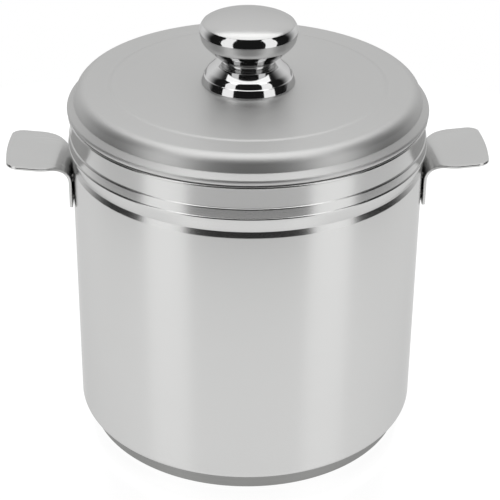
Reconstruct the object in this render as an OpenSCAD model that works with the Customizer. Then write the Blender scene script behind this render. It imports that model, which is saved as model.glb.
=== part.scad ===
// Soup kettle: a drawn steel pot with a sealed base, two bent strip handles and a lift-off lid with a knob.
// Millimetres. Z is up, the handles lie along X, and the origin is the middle of the underside.

/* [Pot] */
// Outer diameter of the straight wall
body_d = 240; // [200:1:300]
// Height of the pot rim above the surface it stands on
rim_h = 236.2; // [190:0.2:300]
// Thickness of the drawn pot sheet
pot_sheet = 1; // [0.8:0.1:1.3]
// Outer radius where the wall turns into the bottom
bottom_r = 4.5; // [3:0.5:8]
// Radius of the small rolled rim
rim_r = 1.15; // [0.8:0.05:1.6]

/* [Bead under the rim] */
// How far the bead stands out from the wall
bead_out = 2.4; // [1.5:0.1:3.5]
// How deep the groove below the bead goes in
groove_in = 1.1; // [0.5:0.1:1.5]
// Height of the mirror collar between the bead and the rim
collar_h = 15; // [12:0.5:24]

/* [Base] */
// How far the base is set in from the wall
base_inset = 7.4; // [5:0.2:12]
// Height of the base
base_h = 12.4; // [8:0.2:15]
// Thickness of the steel capsule of the base
capsule_sheet = 0.6; // [0.5:0.1:1]
// Rounding of the lower edge of the base
base_edge_r = 3; // [2:0.5:5]

/* [Handles] */
// How far the grip reaches out from the wall
grip_reach = 44.4; // [36:0.2:60]
// Widest part of the grip
grip_w = 59.6; // [48:0.2:72]
// Width of the leg that is welded to the wall
leg_w = 39; // [28:1:42]
// Height of the leg below the corner of the bend
leg_h = 33.7; // [26:0.1:50]
// Thickness of the bent strip
strip = 2; // [1.5:0.1:2.5]
// Inner radius of the bend
bend_r = 14; // [8:0.5:16]
// Upward slope of the grip in degrees
grip_tilt = 5.7; // [0:0.1:8]
// Height of the corner of the bend below the rim
handle_drop = 34; // [30:0.2:60]

/* [Lid] */
// Thickness of the pressed lid sheet
lid_sheet = 0.9; // [0.7:0.1:1.2]
// Height of the lid top above the pot rim
lid_rise = 18.4; // [17:0.1:30]
// Radius of the rounded shoulder
shoulder_r = 8; // [4:0.5:12]
// How far the lid bead stands out past the wall
lid_bead_out = 2; // [1.4:0.1:3]
// Depth of the skirt that drops inside the rim
skirt_h = 9.5; // [6:0.5:12]
// Drop of the soft step pressed round the top
step_h = 0.5; // [0.2:0.1:1]

/* [Knob] */
// Diameter of the knob head
knob_d = 65.6; // [54:0.2:76]
// Diameter of the knob foot
foot_d = 63; // [54:0.2:72]
// Height of the knob above the lid
knob_h = 47.8; // [44:0.1:60]
// Height of the domed cap above the seam
dome_h = 6; // [4:0.1:10]
// Thickness of the knob sheet
knob_sheet = 1; // [0.8:0.1:1.2]
// Diameter of the knob screw
screw_d = 6; // [5:1:6]

/* [Hidden] */

// Turned pieces are drawn with this many segments round, and bends with one step per so many degrees.
round_fn = 180;
small_fn = 72;
bend_step = 7.5;

steel_satin = [0.78, 0.78, 0.77];
steel_bright = [0.86, 0.86, 0.87];
steel_base = [0.62, 0.62, 0.61];
aluminium_grey = [0.70, 0.71, 0.73];
weld_grey = [0.50, 0.50, 0.50];

body_r = body_d / 2;
rim_centre_h = rim_h - rim_r;
collar_r = body_r + 0.5;
collar_foot_h = rim_h - collar_h;
bead_r = body_r + bead_out;
base_r = body_r - base_inset;
hole_edge = 0.3;

// The lid rests on the rim, drawn with this gap so that the two never overlap.
rest_gap = 0.3;
lid_seat_h = rim_h + rest_gap;
lid_top_h = rim_h + lid_rise;
lid_bead_r = body_r + lid_bead_out;
skirt_r = body_r - 1.7;
screw_hole_r = screw_d / 2 + hole_edge;

foot_r = foot_d / 2;
knob_r = knob_d / 2;
neck_r = foot_r * 0.54;
neck_h = knob_h * 0.37;
insert_r = 6;
insert_flange_r = 12;
insert_flange_t = 2.5;
insert_h = neck_h + 8;
thread_gap = 0.05;

washer_t = 1.2;
washer_r = 9;
spring_t = 1.4;
spring_r = 5.6;
screw_head_r = 6;
screw_head_t = 3.6;
lid_under_h = lid_top_h - lid_sheet;

// Small gap between the flat leg and the round wall, bridged by the welds.
leg_gap = 0.05;
weld_r = 2.5;
weld_bite = 0.7;
weld_spread = 9;

function unit(v) = v / norm(v);

function short_turn(a) = a > 180 ? a - 360 : (a < -180 ? a + 360 : a);

// Points of the bend of radius r that rounds the corner q between p and s.
function bend_at(p, q, s, r) =
    let (
        back = unit(p - q),
        ahead = unit(s - q),
        half = acos(back * ahead) / 2,
        centre = q + unit(back + ahead) * r / sin(half),
        first = q + back * r / tan(half),
        last = q + ahead * r / tan(half),
        from = atan2(first[1] - centre[1], first[0] - centre[0]),
        turn = short_turn(atan2(last[1] - centre[1], last[0] - centre[0]) - from),
        n = max(2, ceil(abs(turn) / bend_step))
    )
    [for (i = [0:n]) centre + r * [cos(from + turn * i / n), sin(from + turn * i / n)]];

function flat_point(c) = [c[0], c[1]];

// A line through corners [x, y, bend radius], with each corner rounded by its own radius.
function bent_line(corners) =
    let (last = len(corners) - 1)
    [for (i = [0:last])
        each (i == 0 || i == last || corners[i][2] == 0)
            ? [flat_point(corners[i])]
            : bend_at(flat_point(corners[i - 1]), flat_point(corners[i]),
                flat_point(corners[i + 1]), corners[i][2])];

// The same line moved to its left by t, as the other face of a sheet of thickness t.
function other_face(line, t) =
    let (last = len(line) - 1)
    [for (i = [0:last])
        let (
            here = i > 0 ? unit(line[i] - line[i - 1]) : unit(line[1] - line[0]),
            next = i < last ? unit(line[i + 1] - line[i]) : here,
            middle = unit(here + next)
        )
        line[i] + [-middle[1], middle[0]] * t / (middle * next)];

function backwards(line) = [for (i = [len(line) - 1:-1:0]) line[i]];

// Section of a bent sheet: the line is one face and t is the thickness to its left.
function sheet_section(line, t) = concat(line, backwards(other_face(line, t)));

// Outer line of the pot, from the middle of the bottom up to the collar.
pot_line = bent_line([
    [0, base_h, 0],
    [body_r, base_h, bottom_r],
    [body_r, collar_foot_h - 21.4, 3],
    [body_r - groove_in, collar_foot_h - 17.4, 1.2],
    [bead_r - 0.4, collar_foot_h - 9.4, 4],
    [bead_r, collar_foot_h - 7.2, pot_sheet + 0.1],
    [bead_r - 0.7, collar_foot_h - 6.6, 0.3],
    [bead_r - 1, collar_foot_h - 0.6, pot_sheet + 0.1],
    [collar_r, collar_foot_h, 0.35],
    [collar_r, rim_centre_h + 0.4, 0]
]);

// Outer line of the base capsule, from the middle of the underside to its top edge.
capsule_line = bent_line([
    [0, 0, 0],
    [base_r, 0, base_edge_r],
    [base_r + 0.8, base_h, 0]
]);

// Outer line of the lid, from the screw hole over the shoulder and the bead to the foot of the skirt.
lid_line = bent_line([
    [screw_hole_r, lid_top_h, 0],
    [washer_r + 3, lid_top_h, 0],
    [body_r - 29.5, lid_top_h, 20],
    [body_r - 25, lid_top_h - step_h, 20],
    [body_r - 5, lid_top_h - step_h - 0.1, shoulder_r],
    [body_r - 2.6, lid_seat_h + 7.2, 1.2],
    [lid_bead_r, lid_seat_h + 3.8, 2],
    [lid_bead_r, lid_seat_h, 2.4],
    [skirt_r, lid_seat_h, 0.6],
    [skirt_r, lid_seat_h - skirt_h, 0]
]);

// Outer line of the knob foot, from its lower edge up to the flat ring under the head.
bell_line = bent_line([
    [foot_r, lid_top_h, 0],
    [foot_r, lid_top_h + 0.8, knob_sheet + 0.1],
    [foot_r - 1.5, lid_top_h + 5.4, knob_sheet + 0.1],
    [foot_r - 2.1, lid_top_h + 5.9, 0.3],
    [foot_r * 0.88, lid_top_h + 9, 8],
    [neck_r + 5.3, lid_top_h + neck_h - 3.9, 2.4],
    [neck_r, lid_top_h + neck_h - 2.4, 1],
    [neck_r, lid_top_h + neck_h, 1.1],
    [insert_r + thread_gap, lid_top_h + neck_h, 0]
]);

knob_top_h = lid_top_h + knob_h;
seam_h = knob_top_h - dome_h;
seam_r = knob_r - 1.95;
dome_rise = dome_h * 1.48;
dome_steps = 14;

// Outer line of the knob head, from the hole in its floor out and up to the rim under the cap.
bowl_line = bent_line([
    [insert_r + thread_gap, lid_top_h + neck_h, 0],
    [neck_r + 2.8, lid_top_h + neck_h, 4],
    [knob_r - 1.4, lid_top_h + neck_h + 11.3, 9],
    [knob_r, seam_h - 6.2, 6],
    [knob_r, seam_h - 2.7, 7],
    [seam_r, seam_h - 0.1, 0]
]);

// One face of the domed cap, from the seam up to the middle. The dome is a flattened ball.
function dome_line(out, rise, from) = [
    for (i = [0:dome_steps - 1])
        let (a = from + (90 - from) * i / dome_steps)
        [out * cos(a), knob_top_h - dome_rise + rise * sin(a)]
];

seam_angle = asin(1 - dome_h / dome_rise);
dome_r = seam_r / cos(seam_angle);
cap_collar_r = seam_r - knob_sheet - 0.2;
cap_collar_h = 3;
inner_angle = acos((cap_collar_r - knob_sheet) / (dome_r - knob_sheet));

module pot_body() {
    color(steel_satin)
    rotate_extrude($fn = round_fn)
    union() {
        polygon(sheet_section(pot_line, pot_sheet));
        translate([collar_r - 0.1, rim_centre_h])
        circle(r = rim_r, $fn = small_fn);
    }
}

// Aluminium disc that fills the capsule under the pot.
module base_core() {
    color(aluminium_grey)
    rotate_extrude($fn = round_fn)
    difference() {
        polygon(concat(other_face(capsule_line, capsule_sheet), [[0, base_h + 1]]));
        translate([0, base_h])
        square([body_r, base_h]);
    }
}

module base_cap() {
    color(steel_base)
    rotate_extrude($fn = round_fn)
    difference() {
        polygon(sheet_section(capsule_line, capsule_sheet));
        translate([0, base_h])
        square([body_r, base_h]);
    }
}

// Side view of the bent strip: x runs out from the wall, y is the height.
module strip_side_view() {
    corner_h = rim_h - handle_drop;
    strip_line = bent_line([
        [leg_gap, corner_h - leg_h, 0],
        [leg_gap, corner_h, bend_r + strip],
        [grip_reach + 5, corner_h + (grip_reach + 5) * tan(grip_tilt), 0]
    ]);
    polygon(sheet_section(strip_line, -strip));
}

// Top view of the handle: the narrow leg widens round the bend to the paddle-shaped grip.
module grip_top_view() {
    half_line = bent_line([
        [-strip, leg_w / 2, 0],
        [strip * 0.8, leg_w / 2, 5],
        [grip_reach * 0.37, grip_w / 2, 12],
        [grip_reach - 2.2, grip_w / 2 - 0.6, 9],
        [grip_reach, 1, 0]
    ]);
    polygon(concat(half_line, [for (p = backwards(half_line)) [p[0], -p[1]]]));
}

// Front view of the handle, which rounds the lower corners of the leg.
module leg_front_view() {
    foot_h = rim_h - handle_drop - leg_h;
    half_line = bent_line([
        [1, foot_h, 0],
        [leg_w / 2, foot_h, 4],
        [leg_w / 2, foot_h + 12, 1],
        [grip_w, foot_h + 14, 0],
        [grip_w, rim_h, 0]
    ]);
    polygon(concat(half_line, [for (p = backwards(half_line)) [-p[0], p[1]]]));
}

module handle() {
    translate([body_r, 0, 0])
    intersection() {
        translate([0, grip_w, 0])
        rotate([90, 0, 0])
        linear_extrude(height = 2 * grip_w)
        strip_side_view();
        linear_extrude(height = 2 * rim_h)
        grip_top_view();
        translate([-grip_reach, 0, 0])
        rotate([90, 0, 90])
        linear_extrude(height = 3 * grip_reach)
        leg_front_view();
    }
}

// Four spot weld nuggets between a leg and the wall.
module handle_welds() {
    middle_h = rim_h - handle_drop - leg_h + 13;
    for (side = [-1, 1], level = [-1, 1])
        translate([body_r - weld_bite, side * weld_spread, middle_h + level * 6])
        rotate([0, 90, 0])
        cylinder(r = weld_r, h = weld_bite + leg_gap + strip / 2, $fn = small_fn);
}

module left_handle() {
    color(steel_satin)
    rotate([0, 0, 180])
    handle();
}

module right_handle() {
    color(steel_satin)
    handle();
}

module left_handle_welds() {
    color(weld_grey)
    rotate([0, 0, 180])
    handle_welds();
}

module right_handle_welds() {
    color(weld_grey)
    handle_welds();
}

module lid_shell() {
    color(steel_satin)
    rotate_extrude($fn = round_fn)
    polygon(sheet_section(lid_line, -lid_sheet));
}

module knob_bell() {
    color(steel_bright)
    rotate_extrude($fn = round_fn)
    polygon(sheet_section(bell_line, knob_sheet));
}

module knob_bowl() {
    color(steel_bright)
    rotate_extrude($fn = round_fn)
    polygon(sheet_section(bowl_line, knob_sheet));
}

// Domed cap with a short collar that is pressed into the head.
module knob_cap() {
    color(steel_bright)
    rotate_extrude($fn = round_fn)
    polygon(concat(
        dome_line(dome_r, dome_rise, seam_angle),
        [[0, knob_top_h], [0, knob_top_h - knob_sheet]],
        backwards(dome_line(dome_r - knob_sheet, dome_rise - knob_sheet, inner_angle)),
        [
            [cap_collar_r - knob_sheet, seam_h - cap_collar_h],
            [cap_collar_r, seam_h - cap_collar_h],
            [cap_collar_r, seam_h]
        ]
    ));
}

// Sleeve with a flange that clamps the head and the foot, tapped for the screw.
module knob_insert() {
    floor_h = lid_top_h + neck_h + knob_sheet;
    color(aluminium_grey)
    difference() {
        union() {
            translate([0, 0, lid_top_h + hole_edge])
            cylinder(r = insert_r, h = insert_h, $fn = small_fn);
            translate([0, 0, floor_h])
            cylinder(r = insert_flange_r, h = insert_flange_t, $fn = small_fn);
        }
        translate([0, 0, lid_top_h - 1])
        cylinder(r = screw_d / 2 + thread_gap, h = insert_h - 2, $fn = small_fn);
    }
}

// Pan-head screw from inside the lid, with a cross recess.
module knob_screw() {
    head_foot_h = lid_under_h - washer_t - spring_t - screw_head_t;
    color(steel_base)
    difference() {
        union() {
            translate([0, 0, head_foot_h])
            rotate_extrude($fn = small_fn)
            polygon(bent_line([
                [0, 0, 0],
                [screw_head_r, 0, 2],
                [screw_head_r, screw_head_t, 0],
                [0, screw_head_t, 0]
            ]));
            translate([0, 0, head_foot_h + screw_head_t - 1])
            cylinder(d = screw_d, h = 1 + spring_t + washer_t + lid_sheet + insert_h - 4, $fn = small_fn);
        }
        for (turn = [0, 90])
            rotate([0, 0, turn])
            translate([-3.2, -0.55, head_foot_h - 1])
            cube([6.4, 1.1, 2.8]);
    }
}

module flat_washer() {
    color(steel_base)
    translate([0, 0, lid_under_h - washer_t])
    difference() {
        cylinder(r = washer_r, h = washer_t, $fn = small_fn);
        translate([0, 0, -1])
        cylinder(r = screw_hole_r, h = washer_t + 2, $fn = small_fn);
    }
}

// Split spring washer, drawn flat as it is when tightened.
module spring_washer() {
    color(steel_base)
    translate([0, 0, lid_under_h - washer_t - spring_t])
    difference() {
        cylinder(r = spring_r, h = spring_t, $fn = small_fn);
        translate([0, 0, -1])
        cylinder(r = screw_hole_r, h = spring_t + 2, $fn = small_fn);
        translate([0, -0.4, -1])
        cube([2 * spring_r, 0.8, spring_t + 2]);
    }
}

pot_body();
base_core();
base_cap();
left_handle();
right_handle();
left_handle_welds();
right_handle_welds();
lid_shell();
knob_bell();
knob_bowl();
knob_cap();
knob_insert();
knob_screw();
flat_washer();
spring_washer();
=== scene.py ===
# %% [markdown]
# # A stainless steel soup kettle, built in Blender on top of its CAD frame
# The kettle is a round drawn pot with a thick sealed base, two bent strip handles and a lid with a
# mushroom knob. Every size that matters was settled in the CAD model, so this lesson starts by loading
# that model. Then it gives each piece the fine shape and the steel finish that make it look real.

# %% Load the CAD frame
import math

import bmesh
import bpy
from mathutils import Matrix, Vector


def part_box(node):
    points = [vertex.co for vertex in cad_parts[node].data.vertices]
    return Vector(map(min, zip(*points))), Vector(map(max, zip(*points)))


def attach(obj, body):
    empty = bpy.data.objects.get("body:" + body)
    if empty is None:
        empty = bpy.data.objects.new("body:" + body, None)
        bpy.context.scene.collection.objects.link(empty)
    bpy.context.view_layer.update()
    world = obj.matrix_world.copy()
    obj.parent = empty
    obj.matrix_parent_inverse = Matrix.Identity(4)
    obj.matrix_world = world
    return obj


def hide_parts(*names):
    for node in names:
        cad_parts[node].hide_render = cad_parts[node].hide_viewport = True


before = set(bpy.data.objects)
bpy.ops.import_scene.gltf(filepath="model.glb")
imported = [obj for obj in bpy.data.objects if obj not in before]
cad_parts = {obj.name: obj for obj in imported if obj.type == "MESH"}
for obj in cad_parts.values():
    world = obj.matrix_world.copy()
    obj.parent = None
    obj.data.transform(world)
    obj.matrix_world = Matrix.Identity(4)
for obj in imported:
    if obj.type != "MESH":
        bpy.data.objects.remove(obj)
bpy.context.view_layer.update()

# %% [markdown]
# ## Measuring the kettle
# Blender works in metres and a maker of pots thinks in millimetres, so one constant does the change.
# Heights and radii come from the boxes of the CAD nodes. If the CAD model changes, this scene follows.

# %% Read the main heights and radii from the CAD nodes
MM = 0.001
BEAD_STANDS_OUT = 2.3 * MM


def node_radius(node):
    low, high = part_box(node)
    return (high.y - low.y) / 2


def node_heights(node):
    low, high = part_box(node)
    return low.z, high.z


base_top = node_heights("base_cap")[1]
rim_top = node_heights("pot_body")[1]
lid_top = node_heights("lid_shell")[1]
knob_top = node_heights("knob_cap")[1]
bead_radius = node_radius("pot_body")
wall_radius = bead_radius - BEAD_STANDS_OUT
print("wall radius", round(wall_radius, 4), "rim", round(rim_top, 4), "lid top", round(lid_top, 4))

# %% [markdown]
# ## Bent sheet, the way a press makes it
# A drawn pot is one sheet of steel of even thickness that follows a line. The CAD model draws each
# bend with a few straight steps, which a mirror finish would show as rings. Here the same lines are
# drawn with fine steps. A corner list holds x, height and bend radius. The sheet is the line plus the
# same line moved sideways by the thickness.

# %% Helpers for bent lines and sheets
FINE_STEP = 2.0


def bent_line(corners):
    """A line through corners of (x, height, bend radius), one point for every fine step of turn."""
    line = []
    for i, (x, z, radius) in enumerate(corners):
        here = Vector((x, z))
        if radius == 0 or i in (0, len(corners) - 1):
            line.append(here)
            continue
        back = (Vector(corners[i - 1][:2]) - here).normalized()
        ahead = (Vector(corners[i + 1][:2]) - here).normalized()
        half = back.angle(ahead) / 2
        centre = here + (back + ahead).normalized() * radius / math.sin(half)
        first = here + back * radius / math.tan(half) - centre
        turn = ahead.angle_signed(back)
        sweep = math.copysign(math.pi - abs(turn), turn)
        count = max(3, math.ceil(abs(math.degrees(sweep)) / FINE_STEP))
        for k in range(count + 1):
            a = -sweep * k / count
            c, s = math.cos(a), math.sin(a)
            line.append(centre + Vector((first.x * c - first.y * s, first.x * s + first.y * c)))
    return line


def other_face(line, thickness):
    """The line moved sideways, to its left, by the thickness of the sheet."""
    moved = []
    for i, p in enumerate(line):
        here = (p - line[i - 1]).normalized() if i else (line[1] - p).normalized()
        ahead = (line[i + 1] - p).normalized() if i < len(line) - 1 else here
        middle = (here + ahead).normalized()
        moved.append(p + Vector((-middle.y, middle.x)) * thickness / middle.dot(ahead))
    return moved


def sheet(corners, thickness):
    line = bent_line(corners)
    return line + other_face(line, thickness)[::-1]


# %% [markdown]
# ## Turning a section into a solid
# A spun or drawn piece is a section turned round the Z axis. The helper makes one ring of vertices for
# each point of the section, and a single vertex where the section touches the axis. Faces are shaded
# smooth, and only real corners stay sharp, so reflections run cleanly round the steel.

# %% Helper that turns a section round the axis
ROUNDS = 256
LEAST_STEP = 0.004 * MM
ON_AXIS = 0.01 * MM


def tidy_section(section):
    """The section without points that lie on top of each other."""
    kept = []
    for p in section:
        if not kept or (p - kept[-1]).length > LEAST_STEP:
            kept.append(p)
    if (kept[0] - kept[-1]).length <= LEAST_STEP:
        kept.pop()
    return kept


def smooth_mesh(obj, sharp_angle):
    obj.data.shade_smooth()
    obj.data.set_sharp_from_angle(angle=math.radians(sharp_angle))


def turned(name, section):
    section = tidy_section(section)
    bm = bmesh.new()
    rings = []
    for p in section:
        if p.x < ON_AXIS:
            rings.append([bm.verts.new((0, 0, p.y))])
            continue
        rings.append([bm.verts.new((p.x * math.cos(2 * math.pi * k / ROUNDS),
                                    p.x * math.sin(2 * math.pi * k / ROUNDS), p.y))
                      for k in range(ROUNDS)])
    for a, b in zip(rings, rings[1:] + rings[:1]):
        if len(a) == 1 and len(b) == 1:
            continue
        for k in range(ROUNDS):
            n = (k + 1) % ROUNDS
            loop = [a[k % len(a)], a[n % len(a)], b[n % len(b)], b[k % len(b)]]
            loop = [v for i, v in enumerate(loop) if v not in loop[:i]]
            bm.faces.new(loop)
    bmesh.ops.recalc_face_normals(bm, faces=bm.faces)
    mesh = bpy.data.meshes.new(name)
    bm.to_mesh(mesh)
    bm.free()
    obj = bpy.data.objects.new(name, mesh)
    bpy.context.scene.collection.objects.link(obj)
    smooth_mesh(obj, sharp_angle=38)
    print(name, "faces", len(mesh.polygons), "top", round(max(p.y for p in section) / MM, 1), "mm")
    return obj


# %% [markdown]
# ## Steel finishes
# All of the kettle is stainless steel, but the press shop leaves several finishes. A satin finish comes
# from an abrasive belt: thousands of fine parallel scratches that spread a reflection across their
# direction. A polished finish comes from a buffing wheel and shows a clear picture of the room. The
# difference is roughness, fine grain and anisotropy, so one helper makes them all from noise that is
# stretched along the scratches.

# %% Helpers for node networks
class Shop:
    """A small workbench for wiring shader nodes."""

    def __init__(self, name):
        self.material = bpy.data.materials.new(name)
        self.material.use_nodes = True
        self.tree = self.material.node_tree
        self.shader = next(n for n in self.tree.nodes if n.type == "BSDF_PRINCIPLED")

    def node(self, kind, **settings):
        made = self.tree.nodes.new(kind)
        for key, value in settings.items():
            setattr(made, key, value)
        return made

    def feed(self, socket, value):
        """Set a number or colour on a socket, or link another node's output to it."""
        if isinstance(value, bpy.types.NodeSocket):
            self.tree.links.new(value, socket)
        else:
            socket.default_value = value

    def math(self, operation, *values):
        made = self.node("ShaderNodeMath", operation=operation)
        for socket, value in zip(made.inputs, values):
            self.feed(socket, value)
        return made.outputs[0]

    def noise(self, vector, scale, detail=3.0, rough=0.55):
        made = self.node("ShaderNodeTexNoise")
        made.inputs["Scale"].default_value = scale
        made.inputs["Detail"].default_value = detail
        made.inputs["Roughness"].default_value = rough
        self.feed(made.inputs["Vector"], vector)
        return made.outputs["Fac"]

    def spread(self, value, low, high):
        """Noise stays near its middle, so its middle part is spread over the wanted range."""
        made = self.node("ShaderNodeMapRange", clamp=True)
        for socket, number in (("From Min", 0.3), ("From Max", 0.7), ("To Min", low), ("To Max", high)):
            made.inputs[socket].default_value = number
        self.feed(made.inputs["Value"], value)
        return made.outputs["Result"]

    def blend(self, factor, a, b):
        made = self.node("ShaderNodeMix", data_type="RGBA")
        for socket, value in ((made.inputs[0], factor), (made.inputs[6], a), (made.inputs[7], b)):
            self.feed(socket, value)
        return made.outputs[2]


# %% [markdown]
# ### Noise stretched along the scratches
# A lathe or a turning belt leaves scratches that run round the axis. Noise looks like that when it
# changes fast across the scratches and slowly along them. So the place on the piece is first stretched:
# a large factor across, a small one along. On a handle the belt runs along the strip.

# %% Coordinates that follow the scratches
ALONG_RINGS = 6.0
ALONG_STRIP = 14.0


def own_place(shop):
    return shop.node("ShaderNodeTexCoord").outputs["Object"]


def own_axes(shop):
    split = shop.node("ShaderNodeSeparateXYZ")
    shop.feed(split.inputs[0], own_place(shop))
    return split.outputs


def joined(shop, *values):
    made = shop.node("ShaderNodeCombineXYZ")
    for socket, value in zip(made.inputs, values):
        shop.feed(socket, value)
    return made.outputs[0]


def ring_grain(shop, fineness):
    """Scratches that run round the axis, on walls and on flat tops alike."""
    x, y, z = own_axes(shop)
    square = shop.math("ADD", shop.math("MULTIPLY", x, x), shop.math("MULTIPLY", y, y))
    across = shop.math("ADD", shop.math("SQRT", square), z)
    return joined(shop, shop.math("MULTIPLY", x, ALONG_RINGS), shop.math("MULTIPLY", y, ALONG_RINGS),
                  shop.math("MULTIPLY", across, fineness))


def strip_grain(shop, fineness):
    """Scratches that run along the bent strip of a handle."""
    x, y, z = own_axes(shop)
    along = shop.math("ADD", shop.math("ABSOLUTE", x), z)
    return joined(shop, shop.math("MULTIPLY", along, ALONG_STRIP), shop.math("MULTIPLY", y, fineness))


# %% [markdown]
# ### One helper for every steel
# The helper adds fine streaks to a slow cloud, and lets that mix move the colour and the roughness a
# little. The streaks also give a very small bump. A slow ripple is there for hand-buffed sheet, which
# is never quite flat. The edge tint keeps the rims of round pieces from turning white against a pale
# room. Values that are the same all over are set on the shader itself.

# %% Helper that finishes a steel
STREAK_SHARE = 0.65
CLOUD_SCALE = 22.0
RIPPLE_SCALE = 9.0
SCRATCH_DEPTH = 0.02 * MM
EDGE_TINT = (0.72, 0.72, 0.72, 1.0)
QUARTER_TURN = 0.25


def steel(name, tone, rough, swing, grain_of, fineness, bump, streak, anisotropy=0.0, ripple=0.0):
    shop = Shop(name)
    streaks = shop.noise(grain_of(shop, fineness), 1.0, detail=4.0, rough=0.6)
    cloud = shop.noise(own_place(shop), CLOUD_SCALE)
    mixed = shop.math("ADD", shop.math("MULTIPLY", streaks, STREAK_SHARE),
                      shop.math("MULTIPLY", cloud, 1 - STREAK_SHARE))
    dark = tuple(c * (1 - streak) for c in tone) + (1.0,)
    light = tuple(min(1.0, c * (1 + streak)) for c in tone) + (1.0,)
    sockets = shop.shader.inputs
    sockets["Metallic"].default_value = 1.0
    sockets["Specular Tint"].default_value = EDGE_TINT
    shop.feed(sockets["Base Color"], shop.blend(shop.spread(mixed, 0.0, 1.0), dark, light))
    shop.feed(sockets["Roughness"], shop.spread(mixed, rough - swing, rough + swing))
    if anisotropy:
        tangent = shop.node("ShaderNodeTangent", direction_type="RADIAL", axis="Z")
        shop.feed(sockets["Tangent"], tangent.outputs[0])
        sockets["Anisotropic"].default_value = anisotropy
        sockets["Anisotropic Rotation"].default_value = QUARTER_TURN
    height = streaks
    if ripple:
        waves = shop.noise(own_place(shop), RIPPLE_SCALE, detail=1.0)
        height = shop.math("ADD", height, shop.math("MULTIPLY", waves, ripple))
    relief = shop.node("ShaderNodeBump")
    relief.inputs["Strength"].default_value = bump
    relief.inputs["Distance"].default_value = SCRATCH_DEPTH
    shop.feed(relief.inputs["Height"], height)
    shop.feed(sockets["Normal"], relief.outputs[0])
    return shop.material


# %% [markdown]
# ### The finishes of this kettle
# The wall has a fine satin finish, clear enough to show the soft boxes as upright bands. The lid is
# brushed coarser, so it looks an even grey. The lower knob is polished and its cap is satin again. The
# edge of the base has turning grain and a dark grey tone that is painted shade. Hidden pieces are duller
# still.

# %% Make the finishes
STEEL_TONE = (0.62, 0.62, 0.615)
POLISHED_TONE = (0.68, 0.68, 0.68)
# The base tone is painted shade: a dark grey well below bare steel, so the base edge looks shaded.
PAINTED_SHADE_BASE_TONE = (0.28, 0.28, 0.275)
FASTENER_TONE = (0.58, 0.58, 0.57)
ALUMINIUM_TONE = (0.75, 0.76, 0.78)
WELD_TONE = (0.42, 0.41, 0.40)

body_satin = steel("pot satin steel", STEEL_TONE, 0.24, 0.012, ring_grain,
                   fineness=1500.0, bump=0.012, streak=0.015, anisotropy=0.5)
lid_satin = steel("lid satin steel", STEEL_TONE, 0.48, 0.012, ring_grain,
                  fineness=1500.0, bump=0.012, streak=0.012, anisotropy=0.25)
dome_satin = steel("knob dome satin steel", STEEL_TONE, 0.26, 0.015, ring_grain,
                   fineness=1800.0, bump=0.012, streak=0.012)
mirror_steel = steel("mirror polished steel", POLISHED_TONE, 0.07, 0.015, ring_grain,
                     fineness=900.0, bump=0.015, streak=0.02, ripple=0.6)
# The base finish carries painted shade in its dark grey colour, with turning grain on top.
base_steel_with_painted_shade = steel("base steel with painted shade", PAINTED_SHADE_BASE_TONE, 0.34, 0.05, ring_grain,
                   fineness=1100.0, bump=0.08, streak=0.08)
strip_steel = steel("handle strip steel", STEEL_TONE, 0.25, 0.04, strip_grain,
                    fineness=1800.0, bump=0.05, streak=0.05)
fastener_steel = steel("fastener steel", FASTENER_TONE, 0.30, 0.06, ring_grain,
                       fineness=2500.0, bump=0.05, streak=0.06)
core_aluminium = steel("core aluminium", ALUMINIUM_TONE, 0.42, 0.06, ring_grain,
                       fineness=800.0, bump=0.08, streak=0.05)
weld_steel = steel("weld steel", WELD_TONE, 0.5, 0.1, ring_grain,
                   fineness=600.0, bump=0.1, streak=0.12)
print("finishes", [m.name for m in bpy.data.materials])

# %% [markdown]
# ## Putting a piece in its place
# Each new piece takes over from a CAD node: it rides on the same body, so it moves with it, and it
# gets its finish.

# %% Helpers that hand a CAD node over to its fine piece or its finish
def stands_for(obj, node, body, material):
    obj.data.materials.append(material)
    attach(obj, body)
    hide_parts(node)


def finish_node(node, material):
    """Keep the CAD node's own shape and give it a finish."""
    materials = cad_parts[node].data.materials
    materials.clear()
    materials.append(material)
    print(node, "gets", material.name)


# %% [markdown]
# ## The pot
# The pot is drawn from 1 mm sheet. From the bottom up it has a small bend, a straight wall, a groove, a
# bead that stands out from the wall, a little ledge, a straight collar and a rolled rim that is safe to
# touch. The rim is a part of a circle that closes the section.

# %% Draw the pot
POT_SHEET = 1.0 * MM
COLLAR_HEIGHT = 15 * MM
COLLAR_STANDS_OUT = 0.5 * MM
RIM_ROLL = 1.15 * MM

collar_foot = rim_top - COLLAR_HEIGHT
collar_radius = wall_radius + COLLAR_STANDS_OUT
rim_centre = rim_top - RIM_ROLL

pot_corners = [
    (0, base_top, 0),
    (wall_radius, base_top, 4.5 * MM),
    # the groove
    (wall_radius, collar_foot - 21.4 * MM, 3 * MM),
    (wall_radius - 1.1 * MM, collar_foot - 17.4 * MM, 1.2 * MM),
    # the bead
    (bead_radius - 0.4 * MM, collar_foot - 9.4 * MM, 4 * MM),
    (bead_radius, collar_foot - 7.2 * MM, 1.1 * MM),
    # the ledge
    (bead_radius - 0.7 * MM, collar_foot - 6.6 * MM, 0.3 * MM),
    (bead_radius - 1.0 * MM, collar_foot - 0.6 * MM, 1.1 * MM),
    # the collar
    (collar_radius, collar_foot, 0.35 * MM),
    (collar_radius, rim_centre - 0.9 * MM, 0.3 * MM),
    (collar_radius + 0.95 * MM, rim_centre - 0.3 * MM, 0),
]
outer = bent_line(pot_corners)
inner = other_face(bent_line(pot_corners[:-2] + [(collar_radius, rim_centre, 0)]), POT_SHEET)
roll_centre = Vector((collar_radius - 0.1 * MM, rim_centre))
roll = [roll_centre + RIM_ROLL * Vector((math.cos(math.radians(a)), math.sin(math.radians(a))))
        for a in range(-10, 170, 6)]
pot = turned("pot_shell", outer + roll + inner[::-1])
stands_for(pot, "pot_body", "pot", body_satin)
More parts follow.
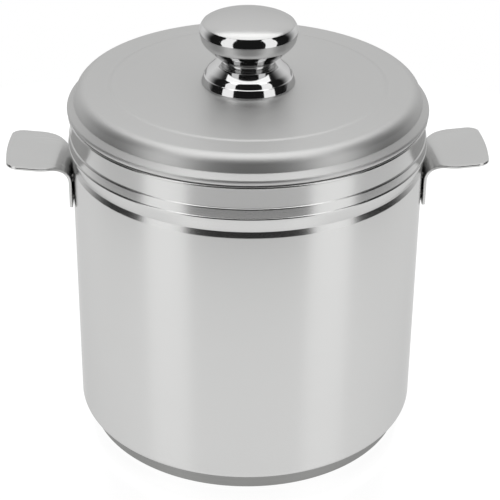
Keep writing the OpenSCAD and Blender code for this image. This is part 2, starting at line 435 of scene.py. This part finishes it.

# %% [markdown]
# ## The base
# Under the pot a steel capsule holds an aluminium disc that spreads the heat. Only the capsule's turned
# edge shows, painted dark grey as painted shade, so the disc keeps its CAD shape and gets a plain
# aluminium finish.

# %% Draw the base capsule
BASE_SHEET = 0.6 * MM
base_radius = node_radius("base_cap")
base_corners = [
    (0, 0, 0),
    (base_radius - 0.8 * MM, 0, 3 * MM),
    (base_radius, base_top, 0),
]
base = turned("base_capsule", sheet(base_corners, BASE_SHEET))
# The base capsule takes the dark grey steel, whose colour is painted shade.
stands_for(base, "base_cap", "pot", base_steel_with_painted_shade)
finish_node("base_core", core_aluminium)

# %% [markdown]
# ## The lid
# The lid is pressed from 0.9 mm sheet. Its top is flat, with one soft step of half a millimetre that
# stiffens it and catches a line of light. Then come a rounded shoulder, a sloping wall and a bead that
# is folded out and rests on the rim. The sheet then turns down into a skirt that keeps the lid centred.

# %% Draw the lid
LID_SHEET = 0.9 * MM
LID_HOLE = 3.3 * MM
LID_STEP = 0.5 * MM
RIM_GAP = 0.3 * MM

seat = rim_top + RIM_GAP
skirt_foot = node_heights("lid_shell")[0]
lid_bead_radius = node_radius("lid_shell")
skirt_radius = wall_radius - 1.7 * MM
lid_corners = [
    (LID_HOLE, lid_top, 0),
    (12 * MM, lid_top, 0),
    # the soft step
    (wall_radius - 28.3 * MM, lid_top, 7 * MM),
    (wall_radius - 26.2 * MM, lid_top - LID_STEP, 7 * MM),
    # the shoulder and the wall
    (wall_radius - 5 * MM, lid_top - LID_STEP - 0.1 * MM, 8 * MM),
    (wall_radius - 2.6 * MM, seat + 7.2 * MM, 1.2 * MM),
    # the bead
    (lid_bead_radius, seat + 3.8 * MM, 2 * MM),
    (lid_bead_radius, seat, 2.4 * MM),
    # the skirt
    (skirt_radius, seat, 0.6 * MM),
    (skirt_radius, skirt_foot, 0),
]
lid = turned("lid_pressing", sheet(lid_corners, -LID_SHEET))
stands_for(lid, "lid_shell", "lid", lid_satin)

# %% [markdown]
# ## The knob
# The knob is three shells of 1 mm sheet: a bell-shaped foot, a bowl that makes the head, and a domed
# cap pressed into the bowl. Fingers fit round the narrow neck. The foot and the bowl are bent lines
# like the pot and the lid.

# %% Draw the knob's foot and head
KNOB_SHEET = 1.0 * MM
NECK_SHARE = 0.54
NECK_HEIGHT_SHARE = 0.37
SLEEVE_HOLE = 6.05 * MM
DOME = 6 * MM

foot_radius = node_radius("knob_bell")
head_radius = node_radius("knob_bowl")
neck_radius = foot_radius * NECK_SHARE
neck_top = lid_top + (knob_top - lid_top) * NECK_HEIGHT_SHARE
seam = knob_top - DOME
seam_radius = head_radius - 1.95 * MM

bell_corners = [
    # the upright edge on the lid
    (foot_radius, lid_top, 0),
    (foot_radius, lid_top + 0.8 * MM, 1.1 * MM),
    (foot_radius - 1.5 * MM, lid_top + 5.4 * MM, 1.1 * MM),
    (foot_radius - 2.1 * MM, lid_top + 5.9 * MM, 0.3 * MM),
    # the bell
    (foot_radius * 0.88, lid_top + 9 * MM, 8 * MM),
    (neck_radius + 5.3 * MM, neck_top - 3.9 * MM, 2.4 * MM),
    # the neck
    (neck_radius, neck_top - 2.4 * MM, 1 * MM),
    (neck_radius, neck_top, 1.1 * MM),
    (SLEEVE_HOLE, neck_top, 0),
]
bell = turned("knob_foot", sheet(bell_corners, KNOB_SHEET))
stands_for(bell, "knob_bell", "lid", mirror_steel)

bowl_corners = [
    (SLEEVE_HOLE, neck_top, 0),
    (neck_radius + 2.8 * MM, neck_top, 4 * MM),
    (head_radius - 1.4 * MM, neck_top + 11.3 * MM, 9 * MM),
    (head_radius, seam - 6.2 * MM, 6 * MM),
    (head_radius, seam - 2.7 * MM, 7 * MM),
    (seam_radius, seam - 0.1 * MM, 0),
]
bowl = turned("knob_head", sheet(bowl_corners, KNOB_SHEET))
stands_for(bowl, "knob_bowl", "lid", mirror_steel)

# %% [markdown]
# ### The cap of the knob
# The cap is a flattened ball with a short collar that slides into the bowl. A ball shape has no flat
# spot and no ridge, so the light rolls over it evenly. The ball is cut off at the seam, and the angle
# of that cut follows from the height of the dome.

# %% Draw the knob's cap
COLLAR_DEPTH = 3 * MM
COLLAR_GAP = 0.2 * MM

dome_rise = DOME * 1.48
seam_turn = math.asin(1 - DOME / dome_rise)
dome_radius = seam_radius / math.cos(seam_turn)
cap_collar = seam_radius - KNOB_SHEET - COLLAR_GAP
inner_turn = math.acos((cap_collar - KNOB_SHEET) / (dome_radius - KNOB_SHEET))


def dome_line(out, rise, first, steps=48):
    """One face of the cap, from the seam up to the middle."""
    turns = [first + (math.pi / 2 - first) * k / steps for k in range(steps)]
    return [Vector((out * math.cos(a), knob_top - dome_rise + rise * math.sin(a))) for a in turns]


cap_section = dome_line(dome_radius, dome_rise, seam_turn)
cap_section += [Vector((0, knob_top)), Vector((0, knob_top - KNOB_SHEET))]
cap_section += dome_line(dome_radius - KNOB_SHEET, dome_rise - KNOB_SHEET, inner_turn)[::-1]
cap_section += [Vector((cap_collar - KNOB_SHEET, seam - COLLAR_DEPTH)),
                Vector((cap_collar, seam - COLLAR_DEPTH)), Vector((cap_collar, seam))]
cap = turned("knob_dome", cap_section)
stands_for(cap, "knob_cap", "lid", dome_satin)

# %% [markdown]
# ## The handles
# Each handle is a strip of 2 mm steel cut to shape, bent once and welded to the wall. The strip is
# followed from the foot of the leg to the tip of the grip. At every step it gets one closed section:
# flat faces and rounded edges, as wide as the cut shape is there. A polishing belt rounds the edges
# like this.

# %% Measure the strip
STRIP = 2.0 * MM
EDGE = 0.55 * MM
BEND_RADIUS = 15 * MM
LEG_LENGTH = 33.7 * MM
LEG_HALF = 19.5 * MM
TIP_BOW = 1.2 * MM
TILT = math.radians(5.7)
WALL_GAP = 0.05 * MM
TIP_GAP = 0.1 * MM

grip_low, grip_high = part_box("right_handle")
leg_foot = grip_low.z
grip_half = (grip_high.y - grip_low.y) / 2
reach = grip_high.x - wall_radius
turn_angle = math.pi / 2 - TILT
bend_start = LEG_LENGTH - (BEND_RADIUS + STRIP / 2) * math.tan(turn_angle / 2)
bend_length = BEND_RADIUS * turn_angle
grip_start = bend_start + bend_length
print("leg runs straight for", round(bend_start / MM, 1), "mm,",
      "the bend takes", round(bend_length / MM, 1), "mm")


# %% Follow the middle of the strip
def strip_point(s):
    """Place and outward direction of the middle of the strip at a length s from the leg's foot."""
    x = STRIP / 2 + WALL_GAP
    if s <= bend_start:
        return Vector((x, leg_foot + s)), Vector((-1, 0))
    a = min(turn_angle, (s - bend_start) / BEND_RADIUS)
    centre = Vector((x + BEND_RADIUS, leg_foot + bend_start))
    face = Vector((-math.cos(a), math.sin(a)))
    run = max(0.0, s - grip_start)
    return centre + face * BEND_RADIUS + Vector((face.y, -face.x)) * run, face


tip_run = (reach - TIP_GAP - TIP_BOW - strip_point(grip_start)[0].x) / math.cos(TILT)
strip_length = grip_start + tip_run
print("strip length", round(strip_length / MM, 1), "mm")

# %% [markdown]
# ### The cut shape of the strip
# The leg is narrow, with small round corners at its foot. From the bend on the strip widens smoothly
# into a paddle with large round corners at the tip, which is kind to the fingers.

# %% Work out the width of the strip
FOOT_CORNER = 4 * MM
TIP_CORNER = 9 * MM
FLARE_START = bend_start + 2 * MM
FLARE_LENGTH = bend_length + 6 * MM


def corner_loss(distance, radius):
    """How much a round corner or edge takes off, at a distance from the end of the strip."""
    if distance >= radius:
        return 0.0
    return radius - math.sqrt(max(0.0, radius ** 2 - (radius - distance) ** 2))


def half_width(s):
    if s < FOOT_CORNER:
        return LEG_HALF - corner_loss(s, FOOT_CORNER)
    t = min(1.0, max(0.0, (s - FLARE_START) / FLARE_LENGTH))
    width = LEG_HALF + (grip_half - LEG_HALF) * t * t * (3 - 2 * t)
    return width - corner_loss(strip_length - s, TIP_CORNER)


print("half width at the leg", round(half_width(bend_start) / MM, 1), "mm,",
      "at the grip", round(half_width(FLARE_START + FLARE_LENGTH) / MM, 1), "mm")

# %% [markdown]
# ### One closed section after another
# Rows lie close together at both ends, where the corners and edges are round, and evenly in between.
# Near an end the section gets thinner as well as narrower, so the edge is round there too.

# %% Shape the strip
ROW_STEP = 0.7 * MM
TIP_STRETCH = 10 * MM
THINNEST = 0.01 * MM


def section_loop(half, thick, radius, flats=20, steps=5):
    """Points (across, through) of a flat bar with rounded edges, once round."""
    loop = []
    for side, start in ((1, -90), (-1, 90)):
        for level in (0, 1):
            through = (thick / 2 - radius) * (level * 2 - 1) * side
            for k in range(steps + 1):
                a = math.radians(start + level * 90 + 90 * k / steps)
                loop.append((side * (half - radius) + radius * math.cos(a),
                             through + radius * math.sin(a)))
        for k in range(1, flats):
            loop.append((side * (half - radius) * (1 - 2 * k / flats), thick / 2 * side))
    return loop


def strip_rows():
    """Lengths along the strip at which a section is drawn."""
    rows = [EDGE * (1 - math.cos(math.pi / 2 * k / 5)) for k in range(6)]
    rows += [EDGE + (FOOT_CORNER - EDGE) * (k / 10) ** 1.5 for k in range(1, 11)]
    s = FOOT_CORNER
    while s < strip_length - TIP_STRETCH:
        s += ROW_STEP
        rows.append(s)
    rows += [s + (strip_length - EDGE - s) * math.sin(math.pi / 2 * k / 24) for k in range(1, 25)]
    rows += [strip_length - EDGE * (1 - math.sin(math.pi / 2 * k / 5)) for k in range(1, 6)]
    return rows


def strip_section(s, side):
    """Points in space of the section at a length s, on the side -1 or 1 of the pot."""
    middle, face = strip_point(s)
    along = Vector((face.y, -face.x))
    loss = corner_loss(min(s, strip_length - s), EDGE)
    half = half_width(s) - loss
    thick = STRIP - 2 * loss
    bow = TIP_BOW * min(1.0, max(0.0, (s - grip_start) / tip_run)) ** 3
    points = []
    for across, through in section_loop(half, thick, min(EDGE, thick / 2 - THINNEST)):
        p = middle + face * through + along * bow * (1 - (across / half) ** 2)
        points.append((side * (wall_radius + p.x), across, p.y))
    return points


# %% Join the sections into two handles
def handle_strip(name, side):
    bm = bmesh.new()
    rows = [[bm.verts.new(p) for p in strip_section(s, side)] for s in strip_rows()]
    around = len(rows[0])
    for a, b in zip(rows, rows[1:]):
        for k in range(around):
            n = (k + 1) % around
            bm.faces.new((a[k], a[n], b[n], b[k]))
    bm.faces.new(rows[0])
    bm.faces.new(rows[-1][::-1])
    bmesh.ops.recalc_face_normals(bm, faces=bm.faces)
    mesh = bpy.data.meshes.new(name)
    bm.to_mesh(mesh)
    bm.free()
    obj = bpy.data.objects.new(name, mesh)
    bpy.context.scene.collection.objects.link(obj)
    smooth_mesh(obj, sharp_angle=35)
    print(name, "rows", len(rows), "faces", len(mesh.polygons))
    return obj


for label, side in (("left", -1), ("right", 1)):
    strip = handle_strip(label + "_strip_handle", side)
    stands_for(strip, label + "_handle", "pot", strip_steel)

# %% [markdown]
# ## The small hidden pieces
# The screw, its washers, the sleeve in the knob and the spot welds are right as the CAD model made
# them. They only need their own finishes.

# %% Finish the small pieces
for node in ("knob_screw", "flat_washer", "spring_washer", "knob_insert"):
    finish_node(node, fastener_steel)
for node in ("left_handle_welds", "right_handle_welds"):
    finish_node(node, weld_steel)

# %% [markdown]
# ## The studio
# Polished steel shows its surroundings, so the room matters as much as the metal. The kettle stands on
# a pale round table that glows a little, like paper lit from below. The glow gives an even white floor
# and a clean reflection of it low on the wall.

# %% Lay the pale table
TABLE_RADIUS = 0.62

bm = bmesh.new()
bmesh.ops.create_circle(bm, cap_ends=True, radius=TABLE_RADIUS, segments=128)
table_mesh = bpy.data.meshes.new("pale_table")
bm.to_mesh(table_mesh)
bm.free()
table = bpy.data.objects.new("pale_table", table_mesh)
bpy.context.scene.collection.objects.link(table)
paper = Shop("pale table")
for socket, value in (("Base Color", (0.10, 0.10, 0.10, 1.0)), ("Emission Color", (1.0, 1.0, 1.0, 1.0)),
                      ("Emission Strength", 0.93), ("Roughness", 0.16), ("Specular IOR Level", 0.8)):
    paper.feed(paper.shader.inputs[socket], value)
table.data.materials.append(paper.material)
print("table", TABLE_RADIUS * 2, "m across")

# %% [markdown]
# ### The lights
# Two tall soft boxes stand in front, to the left and the right. The wall shows them as two upright
# bright bands, and the knob shows them as small windows. A wide soft light overhead fills the lid.

# %% Hang the lights
BOX_DISTANCE = 1.15
BOX_MIDDLE = 1.0
BOX_WIDTH, BOX_HEIGHT = 0.58, 3.0
BOX_POWER = 6.5
OVERHEAD_AT = (0, 0, 1.7)
OVERHEAD_WIDTH, OVERHEAD_DEPTH = 2.2, 1.6
OVERHEAD_POWER = 15


def soft_light(name, place_at, aim_at, width, height, power):
    light = bpy.data.lights.new(name, "AREA")
    light.shape = "RECTANGLE"
    light.size, light.size_y = width, height
    light.energy = power
    obj = bpy.data.objects.new(name, light)
    obj.location = place_at
    obj.rotation_euler = (Vector(aim_at) - Vector(place_at)).to_track_quat("-Z", "Y").to_euler()
    bpy.context.scene.collection.objects.link(obj)
    print(name, "at", [round(v, 2) for v in place_at], "power", power, "W")


for label, swing in (("left", -52), ("right", 50)):
    a = math.radians(swing)
    soft_light(label + " soft box", (BOX_DISTANCE * math.sin(a), -BOX_DISTANCE * math.cos(a), BOX_MIDDLE),
               (0, 0, BOX_MIDDLE), BOX_WIDTH, BOX_HEIGHT, BOX_POWER)
soft_light("overhead light", OVERHEAD_AT, (0, 0, 0), OVERHEAD_WIDTH, OVERHEAD_DEPTH, OVERHEAD_POWER)

# %% [markdown]
# ### The room
# The far side of the room is pale and the near side is dark. That is what gives polished steel its dark
# bands next to bright ones. The change between them is soft. The camera itself sees plain white behind
# the kettle, which the Light Path node takes care of.

# %% Paint the room
DARK_SIDE, PALE_SIDE = 0.015, 1.08
DARK_TO, PALE_FROM = 0.10, 0.75

world = bpy.data.worlds.new("studio room")
bpy.context.scene.world = world
world.use_nodes = True
tree = world.node_tree
tree.nodes.clear()
out = tree.nodes.new("ShaderNodeOutputWorld")
room = tree.nodes.new("ShaderNodeBackground")
seen = tree.nodes.new("ShaderNodeBackground")
seen.inputs["Color"].default_value = (1, 1, 1, 1)
which = tree.nodes.new("ShaderNodeLightPath")
pick = tree.nodes.new("ShaderNodeMixShader")
coords = tree.nodes.new("ShaderNodeTexCoord")
axes = tree.nodes.new("ShaderNodeSeparateXYZ")
back_side = tree.nodes.new("ShaderNodeMapRange")
back_side.interpolation_type = "SMOOTHSTEP"
for socket, value in (("From Min", DARK_TO), ("From Max", PALE_FROM),
                      ("To Min", DARK_SIDE), ("To Max", PALE_SIDE)):
    back_side.inputs[socket].default_value = value
for source, socket in ((coords.outputs["Generated"], axes.inputs[0]),
                       (axes.outputs[1], back_side.inputs["Value"]),
                       (back_side.outputs["Result"], room.inputs["Strength"]),
                       (which.outputs["Is Camera Ray"], pick.inputs[0]),
                       (room.outputs[0], pick.inputs[1]),
                       (seen.outputs[0], pick.inputs[2]),
                       (pick.outputs[0], out.inputs["Surface"])):
    tree.links.new(source, socket)
bpy.context.scene.view_settings.view_transform = "Standard"
print("room strength from", DARK_SIDE, "in front to", PALE_SIDE, "behind")

# %% [markdown]
# ## The camera
# The camera looks down on the kettle from a little over a metre away with a long lens, as for a
# catalogue. Its place is given as a distance, a height and a small step to the side. Its direction is
# given as three small angles, from which the three axes of the camera are built.

# %% Set the camera
CAMERA_BACK = 1018.9 * MM
CAMERA_UP = 694.3 * MM
SENSOR_WIDTH, LENS = 36, 118.32

side_step = math.radians(2.2)
heading = math.radians(2.334)
pitch = math.radians(29.213)
lean = math.radians(0.637)
forward = Vector((math.sin(heading) * math.cos(pitch), math.cos(heading) * math.cos(pitch),
                  -math.sin(pitch)))
right = forward.cross(Vector((0, 0, 1))).normalized()
up = right.cross(forward)
tilted_right = right * math.cos(lean) + up * math.sin(lean)
tilted_up = up * math.cos(lean) - right * math.sin(lean)
camera_data = bpy.data.cameras.new("catalogue camera")
camera_data.sensor_width = SENSOR_WIDTH
camera_data.lens = LENS
camera = bpy.data.objects.new("catalogue camera", camera_data)
turned_axes = Matrix((tilted_right, tilted_up, -forward)).transposed()
spot = Vector((-CAMERA_BACK * math.sin(side_step), -CAMERA_BACK * math.cos(side_step), CAMERA_UP))
camera.matrix_world = Matrix.Translation(spot) @ turned_axes.to_4x4()
bpy.context.scene.collection.objects.link(camera)
bpy.context.scene.camera = camera
print("camera at", [round(v, 3) for v in spot])
